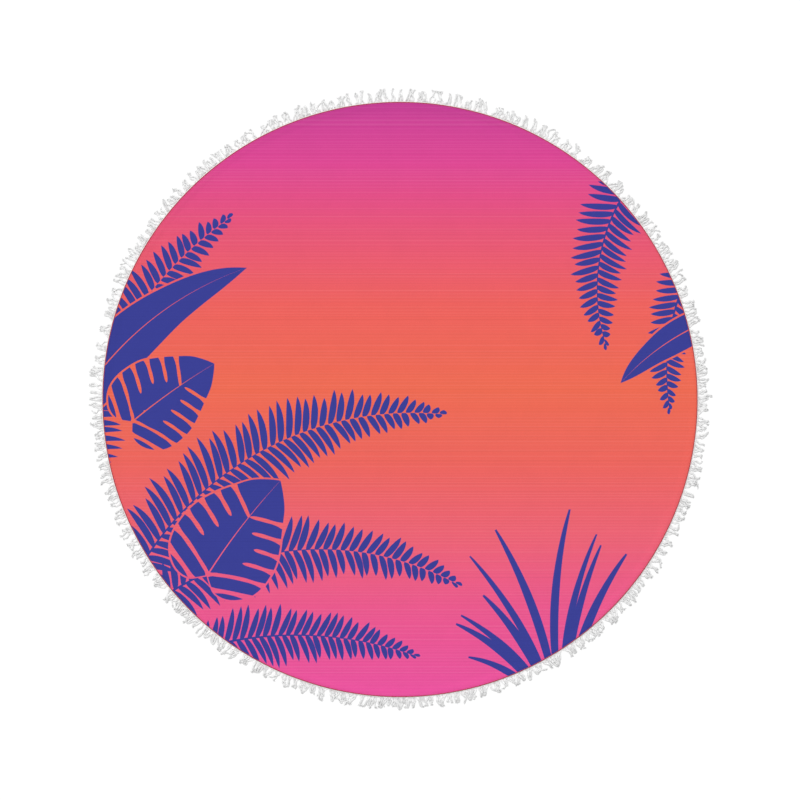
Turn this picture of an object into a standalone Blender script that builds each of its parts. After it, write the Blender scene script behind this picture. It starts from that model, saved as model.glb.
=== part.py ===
"""Round beach towel, laid out flat with its printed side up.

A maker cuts and sews two things: the round cloth, and the fringe trim that is stitched under its edge.
The trim is a narrow tape with cut yarn locks. The cloth climbs onto the tape near its edge.

Metres, +Z up. The origin is the middle of the towel, on the surface that it lies on, and +Y is the top of the print.
"""

import math
import random

import bmesh
import bpy
from mathutils import Matrix

# Cloth
CLOTH_DIAMETER = 1.500
CLOTH_THICKNESS = 0.0020
EDGE_ROUNDING = 0.0008  # radius of the turned edge, above and below
CLOTH_STEPS = 144  # facets round the cloth

# Fringe trim
TAPE_UNDER_CLOTH = 0.009  # how far the tape reaches in under the cloth
TAPE_SHOWING = 0.003  # how far the tape shows past the cloth's edge
TAPE_THICKNESS = 0.0012
SEAM_GAP = 0.0003  # between the tape and the cloth that is sewn to it
CLIMB_WIDTH = 0.014  # the stretch over which the cloth rises onto the tape

# Yarn locks, one for each facet of the tape
LOCK_COUNT = 300
LOCK_LENGTH = 0.033  # past the tape, for the longest
LOCK_SHORTEST = 0.66  # of that length
LOCK_MIDDLE = 0.5  # where along a lock its thickest section lies
LOCK_MIDDLE_WIDTH = 0.0088
LOCK_MIDDLE_HEIGHT = 0.0032
LOCK_TIP_WIDTH = 0.0040
LOCK_TIP_HEIGHT = 0.0015
LOCK_LEAN = 0.0050  # the furthest that a tip strays sideways
LOCK_BOW = 0.0009  # the furthest that a lock's middle strays from the straight line to its tip
LOCK_SEED = 7

# Finish of the plain solids
CLOTH_COLOUR = (0.84, 0.13, 0.12, 1)
YARN_COLOUR = (0.84, 0.84, 0.82, 1)

CLOTH_RADIUS = CLOTH_DIAMETER / 2
TAPE_INNER_RADIUS = CLOTH_RADIUS - TAPE_UNDER_CLOTH
TAPE_OUTER_RADIUS = CLOTH_RADIUS + TAPE_SHOWING
CLOTH_LIFT = TAPE_THICKNESS + SEAM_GAP  # how high the cloth's underside lies on the tape


def clear_scene():
    for obj in list(bpy.data.objects):
        bpy.data.objects.remove(obj)


def fabric(name, colour):
    material = bpy.data.materials.new(name)
    material.use_nodes = True
    shader = material.node_tree.nodes["Principled BSDF"]
    shader.inputs["Base Color"].default_value = colour
    shader.inputs["Roughness"].default_value = 0.9
    shader.inputs["Metallic"].default_value = 0.0
    return material


def object_from(name, mesh, material, collection):
    obj = bpy.data.objects.new(name, mesh)
    obj.data.materials.append(material)
    collection.objects.link(obj)
    return obj


def climb(share):
    """Rises smoothly from 0 to 1 as share goes from 0 to 1."""
    return share * share * (3 - 2 * share)


def climbing_stretch(base, steps=4):
    """(radius, height) points, going outwards, where the cloth rises from lying flat to lying on the tape."""
    start = TAPE_INNER_RADIUS - SEAM_GAP - CLIMB_WIDTH
    return [
        (start + CLIMB_WIDTH * k / steps, base + CLOTH_LIFT * climb(k / steps))
        for k in range(steps + 1)
    ]


def rounded_edge(top, steps=2):
    """(radius, height) points down the cloth's turned edge, from its top face to its underside."""
    points = []
    for turn, level in ((0, top - EDGE_ROUNDING), (90, CLOTH_LIFT + EDGE_ROUNDING)):
        for k in range(steps + 1):
            angle = math.radians(90 - turn - 90 * k / steps)
            radius = CLOTH_RADIUS - EDGE_ROUNDING * (1 - math.cos(angle))
            points.append((radius, level + EDGE_ROUNDING * math.sin(angle)))
    return points


def cloth_profile():
    """(radius, height) points of half the cloth's section: out along the top, round the edge and back underneath."""
    top = CLOTH_LIFT + CLOTH_THICKNESS
    above = [(0.0, CLOTH_THICKNESS)] + climbing_stretch(CLOTH_THICKNESS)
    below = climbing_stretch(0.0)[::-1] + [(0.0, 0.0)]
    return above + rounded_edge(top) + below


def make_cloth(collection):
    """The round cloth with its turned edge, as one turned shape."""
    profile = cloth_profile()
    mesh = bpy.data.meshes.new("cloth_panel")
    edges = [(k, k + 1) for k in range(len(profile) - 1)]
    mesh.from_pydata([(radius, 0.0, height) for radius, height in profile], edges, [])
    cloth = object_from("cloth_panel", mesh, fabric("printed_cloth", CLOTH_COLOUR), collection)
    screw = cloth.modifiers.new("turn", "SCREW")
    screw.axis = "Z"
    screw.angle = 2 * math.pi
    screw.steps = CLOTH_STEPS
    screw.render_steps = CLOTH_STEPS
    screw.use_merge_vertices = True
    screw.merge_threshold = 0.00001
    screw.use_smooth_shade = True
    return cloth


def lock_plan():
    """Length, sideways stray of the tip and bow of the middle for each lock. The four on the axes stay full and straight."""
    draw = random.Random(LOCK_SEED)
    plan = []
    for k in range(LOCK_COUNT):
        length = LOCK_LENGTH * draw.uniform(LOCK_SHORTEST, 1.0)
        lean = draw.uniform(-LOCK_LEAN, LOCK_LEAN)
        bow = draw.uniform(-LOCK_BOW, LOCK_BOW)
        if k % (LOCK_COUNT // 4) == 0:
            length, lean, bow = LOCK_LENGTH, 0.0, 0.0
        plan.append({"length": length, "lean": lean, "bow": bow})
    return plan


def place_section(face, angle, reach, stray, width, height):
    """Moves a lock's end face to its own radius, sideways stray, width and height. Its lower side lies on the ground."""
    out = (math.cos(angle), math.sin(angle))
    along = (-out[1], out[0])
    level = sum(vert.co.z for vert in face.verts) / len(face.verts)
    for vert in face.verts:
        side = 1 if vert.co.x * along[0] + vert.co.y * along[1] > 0 else -1
        offset = stray + side * width / 2
        z = height if vert.co.z > level else 0.0
        vert.co = (
            out[0] * reach + along[0] * offset,
            out[1] * reach + along[1] * offset,
            z,
        )


def tape_ring(mesh):
    """The tape, as a flat ring of LOCK_COUNT facets with a facet's middle on +X. Returns its outer walls."""
    bmesh.ops.create_circle(mesh, segments=LOCK_COUNT, radius=TAPE_OUTER_RADIUS)
    half_facet = Matrix.Rotation(math.pi / LOCK_COUNT, 3, "Z")
    bmesh.ops.rotate(mesh, verts=mesh.verts, cent=(0, 0, 0), matrix=half_facet)
    inner = bmesh.ops.extrude_edge_only(mesh, edges=mesh.edges[:])["geom"]
    inner_verts = [item for item in inner if isinstance(item, bmesh.types.BMVert)]
    share = TAPE_INNER_RADIUS / TAPE_OUTER_RADIUS
    bmesh.ops.scale(mesh, verts=inner_verts, vec=(share, share, 1))
    raised = bmesh.ops.extrude_face_region(mesh, geom=mesh.faces[:])["geom"]
    raised_verts = [item for item in raised if isinstance(item, bmesh.types.BMVert)]
    bmesh.ops.translate(mesh, verts=raised_verts, vec=(0, 0, TAPE_THICKNESS))
    bmesh.ops.recalc_face_normals(mesh, faces=mesh.faces[:])
    middle_radius = (TAPE_INNER_RADIUS + TAPE_OUTER_RADIUS) / 2
    return [
        face
        for face in mesh.faces
        if abs(face.normal.z) < 0.5 and face.calc_center_median().xy.length > middle_radius
    ]


def make_fringe(collection):
    """The trim: the tape, with a lock drawn out of each facet of its outer wall."""
    trim = bmesh.new()
    walls = tape_ring(trim)
    plan = lock_plan()
    for wall in walls:
        middle = wall.calc_center_median()
        angle = math.atan2(middle.y, middle.x)
        lock = plan[round(angle / (2 * math.pi) * LOCK_COUNT) % LOCK_COUNT]
        sections = (
            (LOCK_MIDDLE, lock["lean"] / 2 + lock["bow"], LOCK_MIDDLE_WIDTH, LOCK_MIDDLE_HEIGHT),
            (1.0, lock["lean"], LOCK_TIP_WIDTH, LOCK_TIP_HEIGHT),
        )
        end = wall
        for share, stray, width, height in sections:
            end = bmesh.ops.extrude_discrete_faces(trim, faces=[end])["faces"][0]
            reach = TAPE_OUTER_RADIUS + lock["length"] * share
            place_section(end, angle, reach, stray, width, height)
    mesh = bpy.data.meshes.new("fringe_trim")
    trim.to_mesh(mesh)
    trim.free()
    return object_from("fringe_trim", mesh, fabric("fringe_yarn", YARN_COLOUR), collection)


def main():
    clear_scene()
    towel = bpy.data.collections.new("round_beach_towel")
    bpy.context.scene.collection.children.link(towel)
    make_cloth(towel)
    make_fringe(towel)


main()
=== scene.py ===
# Round beach towel, laid out flat with its print up.
# Made here: the printed cloth, the fringe trim sewn under its edge, and the sewing thread.
import math
import random

import bpy
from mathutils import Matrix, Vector, noise


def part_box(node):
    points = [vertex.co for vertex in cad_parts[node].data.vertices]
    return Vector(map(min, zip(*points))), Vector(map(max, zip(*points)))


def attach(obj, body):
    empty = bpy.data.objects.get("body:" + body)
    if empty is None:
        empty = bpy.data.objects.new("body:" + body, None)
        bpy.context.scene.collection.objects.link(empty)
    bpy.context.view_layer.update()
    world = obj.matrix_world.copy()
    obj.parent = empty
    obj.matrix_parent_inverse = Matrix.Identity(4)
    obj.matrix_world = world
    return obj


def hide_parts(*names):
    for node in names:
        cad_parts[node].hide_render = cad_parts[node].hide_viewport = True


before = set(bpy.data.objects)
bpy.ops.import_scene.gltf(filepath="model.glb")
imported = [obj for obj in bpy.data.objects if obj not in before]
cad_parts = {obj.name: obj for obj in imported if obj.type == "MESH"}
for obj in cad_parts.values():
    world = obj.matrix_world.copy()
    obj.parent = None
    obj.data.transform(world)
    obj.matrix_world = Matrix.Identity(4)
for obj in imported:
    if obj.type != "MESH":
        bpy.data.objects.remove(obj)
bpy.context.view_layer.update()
millimetre = 0.001
fullTurn = 2 * math.pi

# Places that the CAD solids give
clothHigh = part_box("cloth_panel")[1]
clothRadius = clothHigh[0]
clothTop = clothHigh[2]  # top of the cloth where it lies on the tape

# small helpers for objects


def setMode(mode):
    bpy.ops.object.mode_set(mode=mode)


def deselectAll():
    if bpy.context.object and bpy.context.object.mode != "OBJECT":
        setMode("OBJECT")
    bpy.ops.object.select_all(action="DESELECT")


def makeActive(obj):
    deselectAll()
    obj.select_set(True)
    bpy.context.view_layer.objects.active = obj


def applyModifier(obj, kind, **values):
    makeActive(obj)
    modifier = obj.modifiers.new(kind.title(), kind)
    for name, value in values.items():
        setattr(modifier, name, value)
    bpy.ops.object.modifier_apply(modifier=modifier.name)


def thicken(obj, thickness, rounding, segments, **values):
    # downwards, with rounded edges
    applyModifier(obj, "SOLIDIFY", thickness=thickness, offset=-1, **values)
    applyModifier(obj, "BEVEL", width=rounding, segments=segments, angle_limit=math.radians(60))
    bpy.ops.object.shade_smooth_by_angle(angle=math.radians(50))


def finishPiece(obj, name, node=None):
    obj.name = name
    obj.data.name = name
    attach(obj, "root")
    if node:
        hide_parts(node)
    print("made", name, "with", len(obj.data.polygons), "faces")
    return obj


def smoothstep(low, high, value):
    share = min(1, max(0, (value - low) / (high - low)))
    return share * share * (3 - 2 * share)


def mix(first, second, share):
    return first + (second - first) * share


# small helpers for shader nodes


def feed(tree, socket, value):
    if isinstance(value, bpy.types.NodeSocket):
        tree.links.new(value, socket)
    else:
        socket.default_value = value


def calculator(tree):
    def calc(operation, *values):
        node = tree.nodes.new("ShaderNodeMath")
        node.operation = operation
        for socket, value in zip(node.inputs, values):
            feed(tree, socket, value)
        return node.outputs[0]

    return calc


def makeNode(tree, kind, **values):
    node = tree.nodes.new("ShaderNode" + kind)
    for name, value in values.items():
        if name in node.bl_rna.properties:
            setattr(node, name, value)
        else:
            feed(tree, node.inputs[name.replace("_", " ")], value)
    return node


def addNode(tree, kind, **values):
    return makeNode(tree, kind, **values).outputs


def useGroup(tree, group, **values):
    return addNode(tree, "Group", node_tree=group, **values)


def mixColour(tree, share, first, second):
    node = makeNode(tree, "Mix", data_type="RGBA", Factor=share)
    feed(tree, node.inputs[6], first)  # the sockets for colours share their names with those for numbers
    feed(tree, node.inputs[7], second)
    return node.outputs[2]


def profileCurve(tree, value, points):
    # a drawn profile: value from 0 to 1 in, height out; the points at 0 and 1 come first
    node = makeNode(tree, "FloatCurve", Value=value)
    curve = node.mapping.curves[0]
    for number, (x, y) in enumerate(points):
        if number < 2:
            curve.points[number].location = (x, y)
        else:
            curve.points.new(x, y)
    node.mapping.update()
    return node.outputs[0]


def vectorMath(tree, operation, *values):
    node = makeNode(tree, "VectorMath", operation=operation)
    for socket, value in zip(node.inputs, values):
        feed(tree, socket, value)
    return node.outputs["Value" if operation in ("LENGTH", "DOT_PRODUCT") else "Vector"]


def scaleColour(tree, colour, factor):
    return addNode(tree, "VectorMath", operation="SCALE", Vector=colour, Scale=factor)[0]


def swing(calc, noiseValue, amount):
    # noise from 0 to 1 becomes a swing round zero, by this amount from end to end
    return calc("MULTIPLY", calc("SUBTRACT", noiseValue, 0.5), amount)


def newGroup(name, inputs, outputs):
    tree = bpy.data.node_groups.new(name, "ShaderNodeTree")
    for label, value in inputs.items():
        kind = "NodeSocketVector" if isinstance(value, tuple) else "NodeSocketFloat"
        socket = tree.interface.new_socket(label, in_out="INPUT", socket_type=kind)
        socket.default_value = value
    for label in outputs:
        kind = "NodeSocketColor" if label == "Color" else "NodeSocketFloat"
        tree.interface.new_socket(label, in_out="OUTPUT", socket_type=kind)
    given = tree.nodes.new("NodeGroupInput")
    result = tree.nodes.new("NodeGroupOutput")
    return tree, calculator(tree), given.outputs, result.inputs


# effects that several finishes share


def napGroup():
    # short brushed pile on knitted ribs: fibres, ribs and the soft patches that a hand leaves in a nap
    tree, calc, given, result = newGroup(
        "shortNap",
        {"Vector": (0, 0, 0), "Fibre": 0.0009, "Rib": 0.0013, "Patch": 0.07, "Rib Depth": 0.35},
        ("Patches", "Fibres", "Height"),
    )
    fibres = addNode(
        tree, "TexNoise", Vector=given["Vector"], Scale=calc("DIVIDE", 1.0, given["Fibre"]), Detail=3.0,
        Roughness=0.6,
    )
    patches = addNode(
        tree, "TexNoise", Vector=given["Vector"], Scale=calc("DIVIDE", 1.0, given["Patch"]), Detail=2.0,
        Distortion=0.6,
    )
    parts = addNode(tree, "SeparateXYZ", Vector=given["Vector"])
    # the ribs waver by up to a quarter of their pitch
    ribs = calc("ADD", calc("DIVIDE", parts["X"], given["Rib"]), swing(calc, fibres[0], 0.5))
    ribHeight = calc("ABSOLUTE", calc("SINE", calc("MULTIPLY", ribs, math.pi)))
    feed(tree, result["Patches"], patches[0])
    feed(tree, result["Fibres"], fibres[0])
    feed(tree, result["Height"], calc("MULTIPLY_ADD", ribHeight, given["Rib Depth"], fibres[0]))
    return tree


def twistGroup():
    # plies twisted round each other along a yarn's own UV map, with their fibres lying along them
    tree, calc, given, result = newGroup(
        "twistedPlies",
        {
            "UV": (0, 0, 0), "Vector": (0, 0, 0), "Plies": 2.0, "Turns": 14.0, "Fibre": 0.0005,
            "Waver": 0.14, "Groove Width": 0.66, "Fibre Height": 0.55,
        },
        ("Groove", "Fibres", "Height"),
    )
    parts = addNode(tree, "SeparateXYZ", Vector=given["UV"])
    fibres = addNode(
        tree, "TexNoise", Vector=given["Vector"], Scale=calc("DIVIDE", 1.0, given["Fibre"]), Detail=2.0
    )
    around = calc("MULTIPLY", parts["Y"], given["Plies"])
    along = calc("MULTIPLY", parts["X"], given["Turns"])
    phase = calc("MULTIPLY_ADD", fibres[0], given["Waver"], calc("ADD", along, around))
    swell = calc("ABSOLUTE", calc("SINE", calc("MULTIPLY", phase, math.pi)))
    # where the grooves between the plies lie, for the painted shade in them
    paintedGrooveShade = addNode(tree, "MapRange", Value=swell, From_Min=given["Groove Width"], From_Max=0.0)
    # a ring of noise for each ply, drawn out along it, and started elsewhere on each yarn
    turned = calc("MULTIPLY", phase, fullTurn)
    place = addNode(tree, "SeparateXYZ", Vector=given["Vector"])
    start = calc("MULTIPLY_ADD", place["X"], 60.0, along)
    course = addNode(tree, "CombineXYZ", X=calc("SINE", turned), Y=calc("COSINE", turned), Z=start)
    hairs = addNode(tree, "TexNoise", Vector=course[0], Scale=2.6, Detail=3.0)
    mixed = calc("MULTIPLY_ADD", hairs[0], 0.7, calc("MULTIPLY", fibres[0], 0.3))
    feed(tree, result["Groove"], paintedGrooveShade[0])
    feed(tree, result["Fibres"], mixed)
    rounded = calc("POWER", swell, 0.6)
    feed(tree, result["Height"], calc("MULTIPLY_ADD", mixed, given["Fibre Height"], rounded))
    return tree


def weaveGroup():
    # threads over and under each other, on two lengths measured along and across the band
    tree, calc, given, result = newGroup(
        "plainWeave",
        {"Along": 0.0, "Across": 0.0, "Warp": 0.0009, "Weft": 0.0007, "Level": 0.6, "Crossing": 0.4},
        ("Gap", "Height"),
    )
    warp = calc("DIVIDE", given["Across"], given["Warp"])
    weft = calc("DIVIDE", given["Along"], given["Weft"])
    warpWave = calc("SINE", calc("MULTIPLY", warp, math.pi))
    weftWave = calc("SINE", calc("MULTIPLY", weft, math.pi))
    checker = calc("MULTIPLY", warpWave, weftWave)
    rise = calc("MULTIPLY", checker, given["Crossing"])  # the warp goes over and the weft under, by turns
    warpHeight = calc("MULTIPLY", calc("ABSOLUTE", warpWave), calc("ADD", given["Level"], rise))
    weftHeight = calc("MULTIPLY", calc("ABSOLUTE", weftWave), calc("SUBTRACT", given["Level"], rise))
    height = calc("MAXIMUM", warpHeight, weftHeight)
    gap = addNode(tree, "MapRange", Value=height, From_Min=0.35, From_Max=0.1)
    feed(tree, result["Gap"], gap[0])
    feed(tree, result["Height"], height)
    return tree


sharedGroups = {"nap": napGroup(), "twist": twistGroup(), "weave": weaveGroup()}

# the leaf print: groups that each draw one leaf as a margin, positive inside its outline, in metres

# coordinates on the cloth, and a leaf's start, its heading, the side that it bends to and its bend radius
leafPlace = {"Vector": (0, 0, 0), "Place": (0, 0, 0), "Heading": 0.0, "Side": 1.0, "Bend Radius": 1.0}


def leafSpaceGroup():
    # turns a place on the cloth into a distance along a bent leaf and an offset from its midrib
    tree, calc, given, result = newGroup("leafSpace", leafPlace, ("Along", "Offset"))
    turn = addNode(tree, "CombineXYZ", Z=given["Heading"])
    local = addNode(
        tree, "Mapping", vector_type="TEXTURE",
        Vector=given["Vector"], Location=given["Place"], Rotation=turn[0],
    )
    parts = addNode(tree, "SeparateXYZ", Vector=local[0])
    sideways = calc("MULTIPLY", parts["Y"], given["Side"])
    across = calc("SUBTRACT", given["Bend Radius"], sideways)
    angle = calc("ARCTAN2", parts["X"], across)
    squares = calc("MULTIPLY_ADD", across, across, calc("MULTIPLY", parts["X"], parts["X"]))
    feed(tree, result["Along"], calc("MULTIPLY", angle, given["Bend Radius"]))
    feed(tree, result["Offset"], calc("SUBTRACT", given["Bend Radius"], calc("SQRT", squares)))
    return tree


def newLeaf(name, leafSpace, inputs, outputs=("Margin",)):
    tree, calc, given, result = newGroup(name, {**leafPlace, **inputs}, outputs)
    space = useGroup(tree, leafSpace, **{label: given[label] for label in leafPlace})
    return tree, calc, given, result, space["Along"], space["Offset"]


def leafRoots(calc, given, along, out):
    # leaflets and slits lean towards the tip, then curl back: undo that to find where they leave the midrib
    curl = calc("MULTIPLY", calc("MULTIPLY", out, out), given["Curl"])
    return calc("ADD", calc("SUBTRACT", along, calc("MULTIPLY", out, given["Lean"])), curl)


def leafCells(tree, calc, given, cell, side):
    # the number of a leaflet or slit, the place across it from -0.5 to 0.5, and a chance of its own
    number = calc("FLOOR", cell)
    key = addNode(tree, "CombineXYZ", X=number, Y=side, Z=given["Seed"])
    chance = addNode(tree, "TexWhiteNoise", noise_dimensions="3D", Vector=key[0])
    return number, calc("SUBTRACT", calc("SUBTRACT", cell, number), 0.5), chance


def fernGroup(leafSpace):
    # a bent stem with leaning, tapering leaflets on both sides
    inputs = {
        "Length": 0.6, "Leaflet": 0.08, "Pairs": 30.0, "Lean": 0.5, "Curl": 2.0, "Seed": 0.0,
        "Unevenness": 0.22, "Sway": 0.5, "Stem": 0.0034, "Stem Taper": 0.0045,
    }
    tree, calc, given, result, along, offset = newLeaf("fernFrond", leafSpace, inputs)
    side = calc("SIGN", offset)
    out = calc("ABSOLUTE", offset)
    root = calc("DIVIDE", leafRoots(calc, given, along, out), given["Length"])
    stagger = calc("MULTIPLY", side, 0.25)  # the leaflets of the two sides stand half a pitch apart
    cell = calc("ADD", calc("MULTIPLY", root, given["Pairs"]), stagger)
    number, within, chance = leafCells(tree, calc, given, cell, side)
    chances = addNode(tree, "SeparateColor", Color=chance["Color"])
    share = calc("DIVIDE", calc("ADD", number, 0.5), given["Pairs"])
    lengths = [(0, 0.25), (1, 0.06), (0.1, 0.72), (0.3, 1), (0.6, 0.82), (0.86, 0.42)]
    taper = profileCurve(tree, share, lengths)
    inside = calc("MULTIPLY", calc("GREATER_THAN", share, 0.0), calc("LESS_THAN", share, 1.0))
    shorter = calc("SUBTRACT", 1.0, calc("MULTIPLY", chance["Value"], given["Unevenness"]))
    length = calc("MULTIPLY", calc("MULTIPLY", calc("MULTIPLY", given["Leaflet"], taper), shorter), inside)
    reach = calc("DIVIDE", out, length)
    sway = calc("MULTIPLY", swing(calc, chances[1], given["Sway"]), reach)
    fullness = profileCurve(tree, reach, [(0, 0.2), (1, 0.0), (0.12, 0.36), (0.4, 0.4), (0.75, 0.26)])
    thickness = calc("SUBTRACT", fullness, calc("ABSOLUTE", calc("ADD", within, sway)))
    pitch = calc("DIVIDE", given["Length"], given["Pairs"])
    leaflet = calc("MINIMUM", calc("MULTIPLY", thickness, pitch), calc("SUBTRACT", length, out))
    leaflet = calc("MINIMUM", leaflet, calc("SUBTRACT", inside, 0.5))
    halfStem = calc("SUBTRACT", given["Stem"], calc("MULTIPLY", along, given["Stem Taper"]))
    ends = calc("MINIMUM", along, calc("SUBTRACT", given["Length"], along))
    stem = calc("MINIMUM", calc("SUBTRACT", halfStem, out), ends)
    feed(tree, result["Margin"], calc("MAXIMUM", leaflet, stem))
    return tree


def bladeGroup(leafSpace):
    # one long blade: grass, or a broad leaf with a rib left bare along its middle (below zero: no rib)
    inputs = {"Length": 0.4, "Half Width": 0.01, "Rib": -1.0, "Rib End": 0.94}
    tree, calc, given, result, along, offset = newLeaf("leafBlade", leafSpace, inputs)
    out = calc("ABSOLUTE", offset)
    share = calc("DIVIDE", along, given["Length"])
    fullness = profileCurve(tree, share, [(0, 0.3), (1, 0.0), (0.14, 0.72), (0.36, 1), (0.7, 0.72)])
    width = calc("SUBTRACT", calc("MULTIPLY", fullness, given["Half Width"]), out)
    rib = calc("SUBTRACT", out, calc("MULTIPLY", calc("SUBTRACT", given["Rib End"], share), given["Rib"]))
    ends = calc("MINIMUM", along, calc("SUBTRACT", given["Length"], along))
    feed(tree, result["Margin"], calc("MINIMUM", calc("MINIMUM", width, rib), ends))
    return tree


def splitLeafGroup(leafSpace):
    # a broad heart-shaped leaf with slits from its margin towards its midrib
    inputs = {
        "Length": 0.3, "Slits": 7.0, "Last Slit": 6.5, "Lean": 0.55, "Curl": 0.35, "Seed": 0.0,
        "Middle": 0.3, "Rib": 0.006, "Slit Start": 0.36, "Unevenness": 0.18,
    }
    tree, calc, given, result, along, offset = newLeaf("splitLeaf", leafSpace, inputs, ("Margin", "Body"))
    # places in leaf lengths, and the outline as a radius for each angle round the leaf's middle
    x = calc("DIVIDE", along, given["Length"])
    y = calc("DIVIDE", calc("ABSOLUTE", offset), given["Length"])
    side = calc("SIGN", offset)
    middle = calc("SUBTRACT", x, given["Middle"])
    angle = calc("DIVIDE", calc("ARCTAN2", y, middle), math.pi)
    radius = calc("SQRT", calc("MULTIPLY_ADD", y, y, calc("MULTIPLY", middle, middle)))
    outline = [(0, 0.70), (1, 0.27), (0.08, 0.60), (0.22, 0.47), (0.45, 0.43), (0.72, 0.45), (0.88, 0.40)]
    edge = profileCurve(tree, angle, outline + [(0.96, 0.31)])
    root = leafRoots(calc, given, x, y)
    cell = calc("MULTIPLY", calc("ADD", root, 0.32), given["Slits"])  # the first slits lie behind the stalk
    number, within, chance = leafCells(tree, calc, given, cell, side)
    reach = calc("DIVIDE", radius, edge)
    start = calc("MULTIPLY_ADD", chance["Value"], given["Unevenness"], given["Slit Start"])
    opening = calc("DIVIDE", calc("SUBTRACT", reach, start), calc("SUBTRACT", 1.0, start))
    width = profileCurve(tree, opening, [(0, 0.0), (1, 0.20), (0.06, 0.07), (0.3, 0.12), (0.75, 0.12)])
    slit = calc("SUBTRACT", width, calc("ABSOLUTE", within))
    slit = calc("MINIMUM", calc("DIVIDE", slit, given["Slits"]), calc("SUBTRACT", reach, start))
    slit = calc("MINIMUM", slit, calc("SUBTRACT", given["Last Slit"], number))  # none near the tip
    body = calc("SUBTRACT", edge, radius)
    rib = calc("SUBTRACT", y, calc("MULTIPLY", calc("SUBTRACT", 1.0, x), given["Rib"]))
    shape = calc("MINIMUM", calc("MINIMUM", body, rib), calc("MULTIPLY", slit, -1.0))
    feed(tree, result["Margin"], calc("MULTIPLY", shape, given["Length"]))
    feed(tree, result["Body"], calc("MULTIPLY", body, given["Length"]))
    return tree


def leafRow(place, heading, side, bend, length, **own):
    # place on the cloth, heading in degrees, side that the leaf bends to, its bend radius and its length
    return {"place": place, "heading": heading, "side": side, "bend": bend, "length": length, **own}


leaves = {
    "ferns": [
        leafRow((-0.83, -0.42), 96, -1, 0.95, 1.02, leaflet=0.115, pairs=46),
        leafRow((-0.72, -0.56), 70, -1, 0.80, 1.06, leaflet=0.120, pairs=48),
        leafRow((-0.70, -0.58), 44, -1, 0.72, 0.92, leaflet=0.100, pairs=42),
        leafRow((-0.60, -0.66), 22, -1, 0.90, 0.66, leaflet=0.085, pairs=34),
        leafRow((0.70, 0.66), 214, 1, 0.46, 0.60, leaflet=0.090, pairs=30),
        leafRow((0.80, 0.44), 232, 1, 0.60, 0.50, leaflet=0.075, pairs=26),
    ],
    "tuft": {
        "place": (0.40, -0.735), "spread": 0.10, "blades": 13, "headings": (134, 56), "stray": 4,
        "bends": (0.36, 1.3), "lengths": (0.24, 0.50), "widths": (0.0085, 0.0115), "seed": 4,
    },
    "broadLeaves": [
        leafRow((-0.86, -0.10), 66, -1, 0.80, 0.66, width=0.066),
        leafRow((0.84, 0.22), 196, 1, 0.60, 0.34, width=0.040),
    ],
    "splitLeaves": [
        leafRow((-0.49, -0.45), 58, -1, 1.6, 0.31),
        leafRow((-0.68, -0.06), 40, -1, 1.6, 0.26),
    ],
    "ink": (0.033, 0.040, 0.262, 1),
    "rib": 0.0022,  # half the bare line along a broad leaf, at its stalk
    "bareOutline": 0.0045,  # ground left bare round a leaf that lies over others
    "edgeSoftness": 0.0003,
    "edgeStray": 0.0016,  # how far the ink strays from its edge along single tufts of pile
    "edgeGrain": 0.0010,
}


def drawLeaves(tree, coordinates):
    # one mask for all the leaves, from the back of the picture to its front
    leafSpace = leafSpaceGroup()
    fern, split, blade = fernGroup(leafSpace), splitLeafGroup(leafSpace), bladeGroup(leafSpace)
    calc = calculator(tree)

    def draw(group, leaf, **values):
        heading = math.radians(leaf["heading"])
        return useGroup(
            tree, group, Vector=coordinates, Place=leaf["place"] + (0,), Heading=heading, Side=leaf["side"],
            Bend_Radius=leaf["bend"], Length=leaf["length"], **values,
        )

    def lay(behind, leaf, body):
        bare = calc("SUBTRACT", -leaves["bareOutline"], body)
        return calc("MAXIMUM", calc("MINIMUM", behind, bare), leaf)

    def tuftBlades(tuft):
        chance = random.Random(tuft["seed"])
        for number in range(tuft["blades"]):
            share = number / (tuft["blades"] - 1)
            middle = 1 - abs(2 * share - 1)  # the middle blades stand longest and straightest
            along = (share - 0.5) * tuft["spread"]
            yield leafRow(
                (tuft["place"][0] + along, tuft["place"][1] + 0.3 * along),
                mix(*tuft["headings"], share) + chance.uniform(-tuft["stray"], tuft["stray"]),
                1 if share < 0.45 else -1,
                mix(*tuft["bends"], middle) * chance.uniform(0.85, 1.2),
                mix(*tuft["lengths"], middle) * chance.uniform(0.8, 1.1),
                width=chance.uniform(*tuft["widths"]),
            )

    margin = -1.0
    for number, leaf in enumerate(leaves["ferns"]):
        drawn = draw(fern, leaf, Leaflet=leaf["leaflet"], Pairs=leaf["pairs"], Seed=number + 0.5)
        margin = calc("MAXIMUM", margin, drawn["Margin"])
    for leaf in tuftBlades(leaves["tuft"]):
        drawn = draw(blade, leaf, Half_Width=leaf["width"])
        margin = calc("MAXIMUM", margin, drawn["Margin"])
    for leaf in leaves["broadLeaves"]:
        drawn = draw(blade, leaf, Half_Width=leaf["width"], Rib=leaves["rib"])
        margin = lay(margin, drawn["Margin"], drawn["Margin"])
    for number, leaf in enumerate(leaves["splitLeaves"]):
        drawn = draw(split, leaf, Seed=number + 0.5)
        margin = lay(margin, drawn["Margin"], drawn["Body"])
    # the pile breaks up the edge of the ink
    soft = leaves["edgeSoftness"]
    pile = addNode(tree, "TexNoise", Vector=coordinates, Scale=1 / leaves["edgeGrain"], Detail=1.0)
    margin = calc("ADD", swing(calc, pile[0], leaves["edgeStray"]), margin)
    mask = addNode(tree, "MapRange", Value=margin, From_Min=-soft, From_Max=soft)
    return mask[0]


# materials

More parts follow.
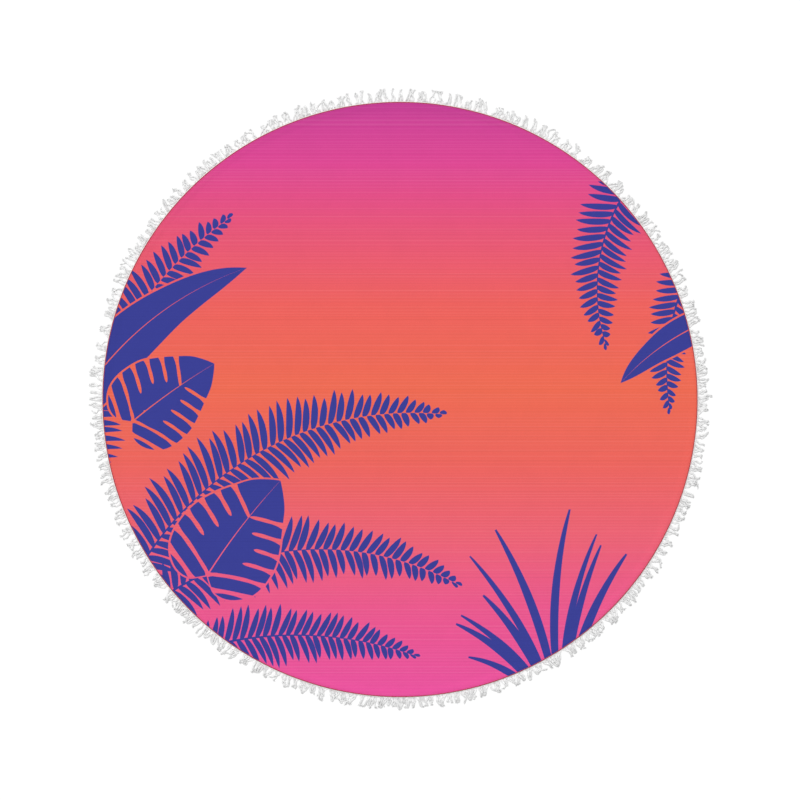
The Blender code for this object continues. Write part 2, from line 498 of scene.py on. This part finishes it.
sunset = {
    # height on the cloth as a share of its diameter, from the bottom up, and the dye there
    "dyes": [
        (0.00, (0.805, 0.078, 0.338)),
        (0.14, (0.815, 0.090, 0.267)),
        (0.26, (0.825, 0.115, 0.175)),
        (0.40, (0.830, 0.125, 0.102)),
        (0.52, (0.845, 0.140, 0.079)),
        (0.66, (0.843, 0.116, 0.105)),
        (0.79, (0.788, 0.085, 0.187)),
        (0.90, (0.720, 0.057, 0.287)),
        (1.00, (0.563, 0.047, 0.300)),
    ],
    "brightness": 0.890,
    "linePitch": 7.56 * millimetre,  # fine lines across the print
    "lineDrift": 2.4,  # how many lines the row runs ahead or behind
    "driftLength": 0.05,
    "lineWidth": 0.34,  # of the pitch
    "linePale": 0.026,
    "lineDark": 0.054,
}


def newMaterial(name, roughness, sheen=0.0):
    material = bpy.data.materials.new(name)
    material.use_nodes = True
    tree = material.node_tree
    surface = tree.nodes["Principled BSDF"].inputs
    for label, value in (("Roughness", roughness), ("Specular IOR Level", 0.2), ("Sheen Weight", sheen)):
        surface[label].default_value = value
    return material, tree, calculator(tree), surface


def bump(tree, surface, height, depth, strength=1.0):
    feed(tree, surface["Normal"], addNode(tree, "Bump", Height=height, Distance=depth, Strength=strength)[0])


def seamWrinkles(tree, coordinates):
    # radial puckers that the two rows of sewing draw into the cloth near its edge
    calc = calculator(tree)
    flat = vectorMath(tree, "MULTIPLY", coordinates, (1, 1, 0))
    outward = vectorMath(tree, "NORMALIZE", flat)
    # the noise is read along a circle of radius 1, which is about 6 long
    waves = addNode(tree, "TexNoise", Vector=outward, Scale=cloth["puckersPerTurn"] / 6, Detail=1.0)
    near = addNode(
        tree, "MapRange", Value=vectorMath(tree, "LENGTH", flat), interpolation_type="SMOOTHSTEP",
        From_Min=cloth["puckerFrom"], From_Max=stitches["seamRadius"],
    )
    return calc("MULTIPLY", waves[0], near[0])


def printGroup():
    # the whole print: dyes from bottom to top, fine lines across them, and the leaves
    tree, calc, given, result = newGroup("towelPrint", {"Vector": (0, 0, 0)}, ("Color",))
    parts = addNode(tree, "SeparateXYZ", Vector=given["Vector"])
    height = addNode(tree, "MapRange", Value=parts["Y"], From_Min=-clothRadius, From_Max=clothRadius)
    ramp = makeNode(tree, "ValToRGB", Fac=height[0])
    ramp.color_ramp.interpolation = "LINEAR"
    elements = ramp.color_ramp.elements
    while len(elements) < len(sunset["dyes"]):
        elements.new(0.5)
    for element, (place, dye) in zip(elements, sunset["dyes"]):
        element.position = place
        element.color = tuple(part * sunset["brightness"] for part in dye) + (1,)
    # some lines are paler and some darker than the dye between them
    drift = addNode(
        tree, "TexNoise", noise_dimensions="1D", W=parts["Y"], Detail=2.0,
        Scale=1 / sunset["driftLength"],
    )
    evenLines = calc("DIVIDE", parts["Y"], sunset["linePitch"])
    lineNumber = calc("MULTIPLY_ADD", drift[0], sunset["lineDrift"], evenLines)
    within = calc("FRACT", lineNumber)
    chance = addNode(tree, "TexWhiteNoise", noise_dimensions="1D", W=calc("FLOOR", lineNumber))
    chances = addNode(tree, "SeparateColor", Color=chance["Color"])
    pale = calc("MULTIPLY", calc("LESS_THAN", within, sunset["lineWidth"]), chances[0])
    dark = calc("MULTIPLY", calc("GREATER_THAN", within, 1 - sunset["lineWidth"]), chances[1])
    ground = mixColour(tree, calc("MULTIPLY", pale, sunset["linePale"]), ramp.outputs[0], (1, 1, 1, 1))
    printed = mixColour(tree, drawLeaves(tree, given["Vector"]), ground, leaves["ink"])
    darker = calc("SUBTRACT", 1.0, calc("MULTIPLY", dark, sunset["lineDark"]))
    feed(tree, result["Color"], scaleColour(tree, printed, darker))
    return tree


def printedFace(towelPrint):
    material, tree, calc, surface = newMaterial("printedFace", 0.92)
    coordinates = addNode(tree, "TexCoord")["Object"]
    printed = useGroup(tree, towelPrint, Vector=coordinates)["Color"]
    nap = useGroup(tree, sharedGroups["nap"], Vector=coordinates)
    patches = swing(calc, nap["Patches"], cloth["patchShade"])
    fibres = swing(calc, nap["Fibres"], cloth["fibreShade"])
    shade = calc("ADD", calc("ADD", patches, fibres), 1.0)
    feed(tree, surface["Base Color"], scaleColour(tree, printed, shade))
    feed(tree, surface["Roughness"], calc("MULTIPLY_ADD", nap["Fibres"], 0.12, 0.84))
    wrinkles = calc("MULTIPLY", seamWrinkles(tree, coordinates), cloth["puckerHeight"] / cloth["napDepth"])
    bump(tree, surface, calc("ADD", nap["Height"], wrinkles), cloth["napDepth"], 0.8)
    return material


def plainBack():
    # the unprinted side: undyed loops in rows, with a trace of the dye that came through
    material, tree, calc, surface = newMaterial("plainBack", 0.95)
    coordinates = addNode(tree, "TexCoord")["Object"]
    nap = useGroup(tree, sharedGroups["nap"], Vector=coordinates, Fibre=0.0011, Patch=0.05, Rib_Depth=0.2)
    loops = addNode(tree, "TexVoronoi", Vector=coordinates, Scale=1 / cloth["loopSize"], Randomness=0.45)
    shadow = addNode(tree, "MapRange", Value=loops["Distance"], From_Min=0.25, From_Max=0.75)
    tint = calc("MULTIPLY_ADD", nap["Patches"], 0.12, 0.02)
    back = mixColour(tree, tint, cloth["undyed"], cloth["dyedThrough"])
    shade = calc("SUBTRACT", 1.0, calc("MULTIPLY", shadow[0], cloth["loopShade"]))
    feed(tree, surface["Base Color"], scaleColour(tree, back, shade))
    loopHeight = calc("SUBTRACT", nap["Height"], calc("MULTIPLY", loops["Distance"], 1.6))
    wrinkles = calc("MULTIPLY", seamWrinkles(tree, coordinates), cloth["puckerHeight"] / cloth["loopDepth"])
    bump(tree, surface, calc("ADD", loopHeight, wrinkles), cloth["loopDepth"])
    return material


def wovenTape():
    material, tree, calc, surface = newMaterial("tapeCotton", 0.9)
    coordinates = addNode(tree, "TexCoord")["Object"]
    parts = addNode(tree, "SeparateXYZ", Vector=coordinates)
    angle = calc("ARCTAN2", parts["Y"], parts["X"])
    level = vectorMath(tree, "MULTIPLY", coordinates, (1, 1, 0))
    weave = useGroup(
        tree, sharedGroups["weave"], Along=calc("MULTIPLY", angle, trim["tapeOuter"]),
        Across=vectorMath(tree, "LENGTH", level),
    )
    # painted shade between the threads of the weave
    colour = mixColour(tree, weave["Gap"], trim["tapeColour"], trim["paintedGapShade"])
    feed(tree, surface["Base Color"], colour)
    feed(tree, surface["Roughness"], calc("MULTIPLY_ADD", weave["Gap"], 0.08, 0.86))
    bump(tree, surface, weave["Height"], 0.25 * millimetre)
    return material


def fringePaintedShade(tree, coordinates):
    # a factor on the cotton's colour: painted light at the tape against the cloth edge's shadow, painted
    # shade towards the cut ends, and painted shade on the fringe's bulkier side with painted light across
    # from it
    calc = calculator(tree)
    shade = addNode(
        tree, "MapRange", Value=vectorMath(tree, "LENGTH", coordinates),
        From_Min=trim["tapeOuter"], From_Max=trim["tapeOuter"] + locks["length"],
        To_Min=strands["rootPaintedLight"], To_Max=strands["tipPaintedShade"],
    )
    fullSide = (math.cos(strands["fullSide"]), math.sin(strands["fullSide"]), 0)
    facing = vectorMath(tree, "DOT_PRODUCT", vectorMath(tree, "NORMALIZE", coordinates), fullSide)
    # painted shade on the bulkier side, painted light across from it
    paintedSide = calc("MULTIPLY_ADD", facing, -strands["sidePaintedShade"], 1.0)
    return calc("MULTIPLY", shade[0], paintedSide)


def twistedPlies(tree, plies, turns, fibre):
    places = addNode(tree, "TexCoord")
    twist = useGroup(
        tree, sharedGroups["twist"], UV=places["UV"], Vector=places["Object"],
        Plies=plies, Turns=turns, Fibre=fibre,
    )
    return places["Object"], twist


def spunYarn(
    name, colour, paintedGrooveShade, turns, plies, fibre, depth, roughness=0.9, sheen=0.0, unevenness=0.22, paintedShade=None
):
    # twisted yarn or thread: painted shade in the grooves between its plies, a little uneven along its
    # length
    material, tree, calc, surface = newMaterial(name, roughness, sheen)
    coordinates, twist = twistedPlies(tree, plies, turns, fibre)
    twisted = mixColour(tree, calc("MULTIPLY", twist["Groove"], 0.8), colour, paintedGrooveShade)
    uneven = addNode(tree, "TexNoise", Vector=coordinates, Scale=1 / (fibre * 14), Detail=1.0)
    fibres = swing(calc, twist["Fibres"], 0.30)
    patches = swing(calc, uneven[0], unevenness)
    shade = calc("ADD", calc("ADD", fibres, patches), 1.0)
    # painted light and shade, where it is given
    if paintedShade:
        shade = calc("MULTIPLY", shade, paintedShade(tree, coordinates))
    feed(tree, surface["Base Color"], scaleColour(tree, twisted, shade))
    bump(tree, surface, twist["Height"], depth)
    return material


def floorFinish():
    material, tree, _, surface = newMaterial("paleFloor", 0.9)
    feed(tree, surface["Base Color"], studio["floorColour"])
    return material


# the cloth

cloth = {
    "thickness": 2.0 * millimetre,
    "cells": 120,  # squares across the flat middle
    "rings": [0.7267, 0.7302, 0.7337, 0.7372, 0.7407, 0.7455, 0.7500],  # radii outside the middle
    "middleRadius": 0.7215,
    "lift": 1.5 * millimetre,  # onto the tape
    "climbFrom": 0.7267,
    "climbTo": 0.7407,
    "edgeRounding": 0.8 * millimetre,
    "waveHeight": 6.0 * millimetre,
    "waveLength": 0.26,
    "rippleShare": 0.4,  # smaller waves over the long ones
    "rippleLength": 0.11,
    "waveSlices": (3.7, 8.1),  # where the long and the small waves cut through their noise
    "calmFrom": 0.60,  # the waves die out towards the edge
    "calmTo": 0.715,
    "puckersPerTurn": 420,
    "puckerFrom": 0.722,
    "puckerHeight": 0.9 * millimetre,
    "napDepth": 0.80 * millimetre,
    "patchShade": 0.05,
    "fibreShade": 0.34,
    "loopSize": 1.7 * millimetre,
    "loopDepth": 0.5 * millimetre,
    "loopShade": 0.22,
    "undyed": (0.74, 0.71, 0.71, 1),
    "dyedThrough": (0.80, 0.42, 0.42, 1),
}


def squareToDisc(x, y):
    # squares of a grid become rings and spokes, so that the cells stay even
    if abs(x) < 1e-9 and abs(y) < 1e-9:
        return Vector((0, 0, 0))
    if abs(x) >= abs(y):
        radius, angle = x, math.pi / 4 * y / x
    else:
        radius, angle = y, math.pi / 2 - math.pi / 4 * x / y
    return Vector((radius * math.cos(angle), radius * math.sin(angle), 0))


def clothHeight(x, y):
    # of the top side: lying flat in the middle with soft waves, and on the tape at the edge
    radius = math.hypot(x, y)
    lift = cloth["lift"] * smoothstep(cloth["climbFrom"], cloth["climbTo"], radius)
    waveSlice, rippleSlice = cloth["waveSlices"]
    waves = noise.noise(Vector((x, y, waveSlice)) / cloth["waveLength"])
    ripples = noise.noise(Vector((x, y, rippleSlice)) / cloth["rippleLength"])
    swell = max(0, waves + cloth["rippleShare"] * ripples) ** 1.5  # only up from the ground
    calm = 1 - smoothstep(cloth["calmFrom"], cloth["calmTo"], radius)
    return cloth["thickness"] + lift + cloth["waveHeight"] * swell * calm


def makeCloth(towelPrint):
    deselectAll()
    cells = cloth["cells"]
    bpy.ops.mesh.primitive_grid_add(x_subdivisions=cells, y_subdivisions=cells, size=2)
    obj = bpy.context.object
    for vert in obj.data.vertices:
        vert.co = squareToDisc(vert.co.x, vert.co.y) * cloth["middleRadius"]
    setMode("EDIT")
    bpy.ops.mesh.select_mode(type="EDGE")
    bpy.ops.mesh.select_all(action="DESELECT")
    bpy.ops.mesh.select_non_manifold()
    inner = cloth["middleRadius"]
    for radius in cloth["rings"]:
        bpy.ops.mesh.extrude_edges_move()
        bpy.ops.transform.resize(value=(radius / inner, radius / inner, 1))
        inner = radius
    setMode("OBJECT")
    for vert in obj.data.vertices:
        vert.co.z = clothHeight(vert.co.x, vert.co.y)
    for material in (printedFace(towelPrint), plainBack()):
        obj.data.materials.append(material)
    thicken(obj, cloth["thickness"], cloth["edgeRounding"], 3, material_offset=1)
    return finishPiece(obj, "printedCloth", "cloth_panel")


# the fringe trim

trim = {
    "tapeInner": 0.741,
    "tapeOuter": 0.753,
    "tapeThickness": 1.2 * millimetre,
    "tapeFacets": 600,
    "tapeRounding": 0.3 * millimetre,
    "tapeColour": (0.86, 0.86, 0.86, 1),
    "paintedGapShade": (0.42, 0.41, 0.40, 1),  # painted shade between the threads of its weave
}

locks = {
    "count": 300,
    "pieces": 4,  # that the ring of locks is made in
    "length": 33 * millimetre,  # past the tape, for the longest
    "shortest": 0.66,  # of that length
    "lean": 5.0 * millimetre,
    "seed": 7,
}

strands = {
    "yarns": 3,  # twisted together in each strand
    "yarnSize": (2.2 * millimetre, 1.4 * millimetre),  # width and height, as it lies
    "points": 12,  # along a cut yarn
    "loopPoints": 19,
    "rootInset": 0.8 * millimetre,  # how far the yarns start inside the tape
    "rootStray": 3.4 * millimetre,
    "rootHeight": 0.7 * millimetre,
    "lockStray": 5.2 * millimetre,  # sideways at the tips, two times out of three within this
    "strandStray": 3.0 * millimetre,
    "apart": (-1.0 * millimetre, 3.5 * millimetre),  # at the tips, from the lock's middle
    "lengths": (0.84, 1.04),  # of the lock's
    "sway": (0.9 * millimetre, 3.2 * millimetre),
    "curl": 3.0 * millimetre,
    "curlShares": (0.5, 1.0, 2.4),  # few strands curl far
    "heights": (0.8, 1.0, 1.6),  # of the yarn's height
    "loopShare": 0.24,  # of the strands turn back to the tape
    "loopLength": 0.88,  # of a cut strand's
    "loopWidth": (4.5 * millimetre, 8.0 * millimetre),
    "twist": (1.2, 1.9),  # turns from the tape to the tips
    "cuts": (0.91, 1.0),  # where along the strand its yarns end
    "fullSide": math.radians(310),  # the strands are bulkier there and finer across from it, and painted shade darkens that side
    "fullShare": 0.15,
    # how much painted shade the bulkier side gets, and painted light the side across from it
    "sidePaintedShade": 0.045,
    # white cotton, set grey as painted shade over the whole fringe
    "colour": (0.745, 0.745, 0.745, 1),
    # painted shade in the grooves between the plies
    "paintedGrooveShade": (0.66, 0.66, 0.66, 1),
    "unevenness": 0.75,  # of the cotton's tone from one stretch to the next
    "rootPaintedLight": 1.11,  # painted light at the tape, against the shadow of the cloth's edge, and painted shade towards the cut ends
    "tipPaintedShade": 0.92,
    "seed": 21,
}

fluff = {
    "thickness": 0.24 * millimetre,
    "atTips": 7,  # loose fibres at the cut end of each yarn
    "tipLength": 4.5 * millimetre,
    "alongYarns": 4,
    "sideLength": 4.0 * millimetre,
    "shortest": 0.35,  # of those lengths
    "spread": 0.5,  # radians
    "curl": 0.7,  # radians
    "lift": (-0.6 * millimetre, 0.5 * millimetre),
    "lowest": 0.2 * millimetre,  # over the ground
    "tipScatter": (0.35, 0.3),  # of the yarn's width and height
    # paler than the yarn: painted light, for light through the thin fibres
    "colour": (0.78, 0.78, 0.78, 1),
    "seed": 22,
}


def makeTape():
    deselectAll()
    bpy.ops.mesh.primitive_circle_add(vertices=trim["tapeFacets"], radius=trim["tapeInner"])
    obj = bpy.context.object
    setMode("EDIT")
    bpy.ops.mesh.select_all(action="SELECT")
    bpy.ops.mesh.extrude_edges_move()
    share = trim["tapeOuter"] / trim["tapeInner"]
    bpy.ops.transform.resize(value=(share, share, 1))
    bpy.ops.mesh.select_all(action="SELECT")
    bpy.ops.mesh.normals_make_consistent(inside=False)
    setMode("OBJECT")
    if obj.data.polygons[0].normal.z < 0:
        obj.data.flip_normals()
    for vert in obj.data.vertices:
        vert.co.z = trim["tapeThickness"]
    thicken(obj, trim["tapeThickness"], trim["tapeRounding"], 2)
    obj.data.materials.append(wovenTape())
    return finishPiece(obj, "fringeTape", "fringe_trim")


def lockPlan():
    # the four locks on the axes stay full and straight
    draw = random.Random(locks["seed"])
    plan = []
    for number in range(locks["count"]):
        length = locks["length"] * draw.uniform(locks["shortest"], 1)
        lean = draw.uniform(-locks["lean"], locks["lean"])
        draw.random()  # keeps step with the plan of the solids, which draws a bow here
        if number % (locks["count"] // 4) == 0:
            length, lean = locks["length"], 0
        plan.append({"angle": fullTurn * number / locks["count"], "length": length, "lean": lean})
    return plan


def strandCourse(lock, lockTip, draw, side):
    # the middle line of one strand, as (out from the tape, sideways, up) for a share from 0 to 1
    thick = strands["yarnSize"][1]
    pitch = fullTurn * trim["tapeOuter"] / locks["count"]
    root = side * pitch / 4 + draw.uniform(-strands["rootStray"], strands["rootStray"])
    tip = lockTip + side * draw.uniform(*strands["apart"]) + draw.gauss(0, strands["strandStray"])
    length = lock["length"] * draw.uniform(*strands["lengths"])
    sway, phase = draw.uniform(*strands["sway"]), draw.uniform(0, fullTurn)
    curl = draw.choice(strands["curlShares"]) * draw.gauss(0, strands["curl"])
    high = draw.choice(strands["heights"]) * thick
    looped = draw.random() < strands["loopShare"]
    legs = draw.uniform(*strands["loopWidth"])  # between the two roots of a loop

    def course(share):
        if looped:
            reach = math.sin(math.pi * share) ** 0.8
            out = length * strands["loopLength"] * reach
            sideways = root - legs / 2 * math.cos(math.pi * share) + (tip - root) * 0.7 * reach
            rise = smoothstep(0, 0.5, reach)
            fall = 0
        else:
            out = length * share
            sideways = mix(root, tip, smoothstep(-0.2, 1.0, share)) + curl * max(0, share - 0.5) ** 2 / 0.25
            sideways += sway * math.sin(phase + 2.6 * math.pi * share) * smoothstep(0, 0.35, share)
            rise = smoothstep(0, 0.4, share)
            fall = (high - thick * 0.8) * smoothstep(0.6, 1, share)
        return out, sideways, mix(strands["rootHeight"], high, rise) - fall

    return course, looped


def yarnPoints(course, draw, place, turn, count, bulk):
    # one yarn of a strand, winding round its middle line: (out, sideways, up, how thick)
    wide, thick = (size * bulk for size in strands["yarnSize"])
    twist = draw.uniform(*strands["twist"]) * fullTurn
    cut = draw.uniform(*strands["cuts"]) if count == strands["points"] else 1
    start = trim["tapeOuter"] - strands["rootInset"]
    points = []
    for step in range(count):
        share = cut * step / (count - 1)
        out, sideways, up = course(share)
        # the yarns lie side by side at the tape, then wind together, and loosen towards the cut ends
        wound = smoothstep(0.0, 0.26, share if cut < 1 else min(share, 1 - share) * 1.6)
        loose = 1 + 0.8 * smoothstep(0.8, 1.0, share)
        angle = turn + twist * share
        flat = (place - (strands["yarns"] - 1) / 2) * wide * 0.98
        sideways += mix(flat, wide * 0.5 * loose * math.cos(angle), wound)
        up += thick * 0.35 * loose * math.sin(angle) * wound
        full = bulk * (mix(0.75, 1.0, wound) + 0.08 * math.sin(7 * share + turn))
        points.append((start + out, sideways, max(up, thick * 0.75), full))
    return points


def looseFibre(start, ahead, draw, reach):
    # a fine fibre that leaves a yarn: start and ahead are (out, sideways, up) on its course
    heading = math.atan2(ahead[1] - start[1], ahead[0] - start[0]) + draw.gauss(0, fluff["spread"])
    curl = draw.gauss(0, fluff["curl"])
    length = reach * draw.uniform(fluff["shortest"], 1.0)
    lift = draw.uniform(*fluff["lift"])
    points = []
    for share in (-0.3, 0.4, 1.0):  # it starts a little way inside the yarn
        angle = heading + curl * share
        out = start[0] + length * share * math.cos(angle)
        sideways = start[1] + length * share * math.sin(angle)
        up = max(fluff["lowest"], start[2] + lift * share)
        points.append((out, sideways, up, 1 - 0.3 * max(0, share)))
    return points


def addYarn(curve, angle, points):
    spline = curve.splines.new("POLY")
    spline.points.add(len(points) - 1)
    outward = Vector((math.cos(angle), math.sin(angle), 0))
    sideways = Vector((-math.sin(angle), math.cos(angle), 0))
    for point, (out, side, up, full) in zip(spline.points, points):
        place = outward * out + sideways * side
        point.co = (place.x, place.y, up, 1)
        point.radius = full


def yarnSection(width, height, sides=6):
    # the outline that is drawn along a yarn
    curve = bpy.data.curves.new("section", "CURVE")
    spline = curve.splines.new("POLY")
    spline.points.add(sides - 1)
    spline.use_cyclic_u = True
    for number, point in enumerate(spline.points):
        turn = fullTurn * number / sides
        point.co = (width / 2 * math.cos(turn), height / 2 * math.sin(turn), 0, 1)
    obj = bpy.data.objects.new("section", curve)
    bpy.context.scene.collection.objects.link(obj)
    return obj


def newYarns(section):
    curve = bpy.data.curves.new("yarns", "CURVE")
    curve.dimensions = "3D"
    curve.bevel_mode = "OBJECT"
    curve.bevel_object = section
    curve.use_fill_caps = True
    return curve


def yarnsToMesh(curve, material, name, node=None):
    obj = bpy.data.objects.new("yarns", curve)
    bpy.context.scene.collection.objects.link(obj)
    makeActive(obj)
    bpy.ops.object.convert(target="MESH")
    obj = bpy.context.object
    setMode("EDIT")
    bpy.ops.mesh.select_all(action="SELECT")
    bpy.ops.mesh.remove_doubles(threshold=0.001 * millimetre)  # joins the cut ends to their yarns
    bpy.ops.mesh.normals_make_consistent(inside=False)
    setMode("OBJECT")
    for face in obj.data.polygons:
        face.use_smooth = len(face.vertices) == 4  # the cut ends stay flat
    obj.data.materials.clear()
    obj.data.materials.append(material)
    return finishPiece(obj, name, node)


def addStrand(yarns, fibres, lock, course, looped, bulk, draw, stray):
    # a strand's twisted yarns, with the loose fibres along them and at their cut ends
    turn = draw.uniform(0, fullTurn)
    count = strands["loopPoints"] if looped else strands["points"]
    for place in range(strands["yarns"]):
        start = turn + fullTurn * place / strands["yarns"]
        yarn = yarnPoints(course, draw, place, start, count, bulk)
        addYarn(yarns, lock["angle"], yarn)
        for _ in range(fluff["alongYarns"]):
            step = stray.randrange(3, strands["points"] - 1)
            fibre = looseFibre(yarn[step], yarn[step + 1], stray, fluff["sideLength"])
            addYarn(fibres, lock["angle"], fibre)
        for _ in range(0 if looped else fluff["atTips"]):
            tip = list(yarn[-1])
            for axis in (0, 1):
                scatter = stray.uniform(-fluff["tipScatter"][axis], fluff["tipScatter"][axis])
                tip[axis + 1] += scatter * strands["yarnSize"][axis]
            ahead = [2 * last - before for last, before in zip(tip, yarn[-2])]
            addYarn(fibres, lock["angle"], looseFibre(tip, ahead, stray, fluff["tipLength"]))


def makeLocks():
    yarnMaterial = spunYarn(
        "fringeYarn", strands["colour"], strands["paintedGrooveShade"], turns=15.0, plies=2.0, fibre=0.45 * millimetre,
        depth=0.3 * millimetre, unevenness=strands["unevenness"], paintedShade=fringePaintedShade,
    )
    fluffMaterial = spunYarn(
        "fringeFluff", fluff["colour"], strands["paintedGrooveShade"], turns=3.0, plies=1.0,
        fibre=0.3 * millimetre, depth=0.02 * millimetre, paintedShade=fringePaintedShade,
    )
    section = yarnSection(*strands["yarnSize"])
    fine = yarnSection(fluff["thickness"], fluff["thickness"], 3)
    draw, stray = random.Random(strands["seed"]), random.Random(fluff["seed"])
    plan = lockPlan()
    share = locks["count"] // locks["pieces"]
    pieces = []
    for number in range(locks["pieces"]):
        yarns, fibres = newYarns(section), newYarns(fine)
        for lock in plan[number * share : (number + 1) * share]:
            lockTip = lock["lean"] * 0.7 + draw.gauss(0, strands["lockStray"])
            bulk = 1 + strands["fullShare"] * math.cos(lock["angle"] - strands["fullSide"])
            for side in (-1, 1):
                course, looped = strandCourse(lock, lockTip, draw, side)
                addStrand(yarns, fibres, lock, course, looped, bulk, draw, stray)
        for curve, material, name in (
            (yarns, yarnMaterial, "fringeLocks%d"),
            (fibres, fluffMaterial, "fringeFluff%d"),
        ):
            pieces.append(yarnsToMesh(curve, material, name % (number + 1), "fringe_trim"))
    bpy.data.objects.remove(section)
    bpy.data.objects.remove(fine)
    return pieces


# the sewing

stitches = {
    "edgeCount": 2760,
    "edgeThread": (1.45 * millimetre, 0.78 * millimetre),  # width and thickness, laid flat
    "edgeReach": 1.9 * millimetre,  # in from the rim
    "edgeSlant": 1.1 * millimetre,
    "edgeColour": (0.45, 0.056, 0.068, 1),
    # painted shade in the grooves of the edge thread
    "edgePaintedGrooveShade": (0.16, 0.02, 0.02, 1),
    "seamCount": 1340,
    "seamRadius": 0.7450,
    "seamThread": 0.6 * millimetre,
    "seamLength": 3.0 * millimetre,
    "bobbinColour": (0.78, 0.77, 0.76, 1),
    # painted shade in the grooves of the bobbin thread
    "bobbinPaintedGrooveShade": (0.5, 0.49, 0.48, 1),
    "seed": 5,
}


def makeOverlock():
    # thread wrapped over the rim, stitch by stitch
    thin = stitches["edgeThread"][1]
    top, under = clothTop, cloth["lift"]
    reach, slant = stitches["edgeReach"], stitches["edgeSlant"]
    # (in from the rim, up, share of the slant)
    wrap = [
        (-reach, top - 0.25 * millimetre, 0.0),
        (-reach + 0.4 * millimetre, top + 0.30 * thin, 0.15),
        (-0.5 * millimetre, top + 0.34 * thin, 0.55),
        (0.45 * thin, (top + under) / 2 + 0.2 * millimetre, 0.8),
        (-0.4 * millimetre, under - 0.10 * thin, 1.0),
        (-reach + 0.2 * millimetre, under + 0.05 * millimetre, 1.3),
    ]
    draw = random.Random(stitches["seed"])
    section = yarnSection(*stitches["edgeThread"])
    curve = newYarns(section)
    for number in range(stitches["edgeCount"]):
        angle = fullTurn * number / stitches["edgeCount"]
        wander = draw.uniform(-0.15, 0.15) * millimetre
        longer = draw.uniform(-0.2, 0.2) * millimetre
        points = [
            (clothRadius + inset + (longer if share < 0.2 else 0), wander + slant * share, up, 1.0)
            for inset, up, share in wrap
        ]
        addYarn(curve, angle, points)
    material = spunYarn(
        "overlockThread", stitches["edgeColour"], stitches["edgePaintedGrooveShade"], turns=7.0, plies=2.0,
        fibre=0.25 * millimetre, depth=0.12 * millimetre, roughness=0.75, sheen=0.1,
    )
    overlock = yarnsToMesh(curve, material, "edgeOverlock")
    bpy.data.objects.remove(section)
    return overlock


def printedThread(towelPrint):
    # the print runs over the upper thread, so that the row hardly shows
    material, tree, calc, surface = newMaterial("printedThread", 0.75)
    coordinates, twist = twistedPlies(tree, 2.0, 5.0, 0.2 * millimetre)
    printed = useGroup(tree, towelPrint, Vector=coordinates)["Color"]
    # painted shade in the grooves between the plies
    shade = calc("SUBTRACT", 1.05, calc("MULTIPLY", twist["Groove"], 0.4))
    feed(tree, surface["Base Color"], scaleColour(tree, printed, shade))
    bump(tree, surface, twist["Height"], 0.1 * millimetre)
    return material


def makeSeam(towelPrint):
    # the row that holds the trim: short lengths of thread that dip in at both ends, above and below
    thick, length = stitches["seamThread"], stitches["seamLength"]
    # (along, as a share of the length, and up, as a share of the thickness)
    dip = [(-0.5, -0.5), (-0.36, 0.15), (0, 0.34), (0.36, 0.15), (0.5, -0.5)]
    draw = random.Random(stitches["seed"] + 1)
    wander = [draw.uniform(-0.1, 0.1) * millimetre for number in range(stitches["seamCount"])]
    bobbinThread = spunYarn(
        "bobbinThread", stitches["bobbinColour"], stitches["bobbinPaintedGrooveShade"], turns=5.0, plies=2.0,
        fibre=0.2 * millimetre, depth=0.1 * millimetre, roughness=0.75,
    )
    section = yarnSection(thick, thick)
    pieces = []
    # level of the thread, which way and how far it arches, and where on the ring the row starts, in stitches
    for name, material, level, way, start in (
        ("seamStitches", printedThread(towelPrint), clothTop, 1, 0.0),
        ("seamBobbinStitches", bobbinThread, 0.3 * thick, -0.5, 0.5),
    ):
        curve = newYarns(section)
        for number, aside in enumerate(wander):
            angle = fullTurn * (number + start) / stitches["seamCount"]
            out = stitches["seamRadius"] + aside
            points = [(out, along * length, level + way * up * thick, 1.0) for along, up in dip]
            addYarn(curve, angle, points)
        pieces.append(yarnsToMesh(curve, material, name))
    bpy.data.objects.remove(section)
    return pieces


# studio

studio = {
    "metresAcross": 2 * clothRadius * 800 / 595,  # the picture is 800 pixels wide, and its cloth 595
    "lens": 70,
    "sensor": 36,
    "cameraSouth": 0.0013,
    "sunStrength": 1.55,
    "sunWidth": 24,  # degrees
    "sunTurn": (-0.66, 0.0, 0.38),
    "skyStrength": 0.83,
    "floorColour": (0.86, 0.86, 0.86, 1),
    "floorSize": 400,
    "floorDrop": 0.3 * millimetre,  # so that the towel's underside never meets it
}


def addStudio():
    deselectAll()
    height = studio["metresAcross"] * studio["lens"] / studio["sensor"] + clothTop
    bpy.ops.object.camera_add(location=(0, -studio["cameraSouth"], height), rotation=(0, 0, 0))
    camera = bpy.context.object
    camera.data.lens = studio["lens"]
    camera.data.sensor_width = studio["sensor"]
    bpy.context.scene.camera = camera
    bpy.ops.object.light_add(type="SUN", rotation=studio["sunTurn"])
    sun = bpy.context.object
    sun.data.energy = studio["sunStrength"]
    sun.data.angle = math.radians(studio["sunWidth"])
    world = bpy.data.worlds.new("studioSky")
    world.use_nodes = True
    sky = world.node_tree.nodes["Background"].inputs
    sky["Color"].default_value = (1, 1, 1, 1)
    sky["Strength"].default_value = studio["skyStrength"]
    bpy.context.scene.world = world
    bpy.ops.mesh.primitive_plane_add(size=studio["floorSize"], location=(0, 0, -studio["floorDrop"]))
    floor = bpy.context.object
    floor.name = "studioFloor"
    floor.data.materials.append(floorFinish())
    bpy.context.scene.view_settings.view_transform = "Standard"


addStudio()
print("studio ready")
towelPrint = printGroup()
printed = makeCloth(towelPrint)
tape = makeTape()
trimPieces = makeLocks()
sewing = [makeOverlock()] + makeSeam(towelPrint)
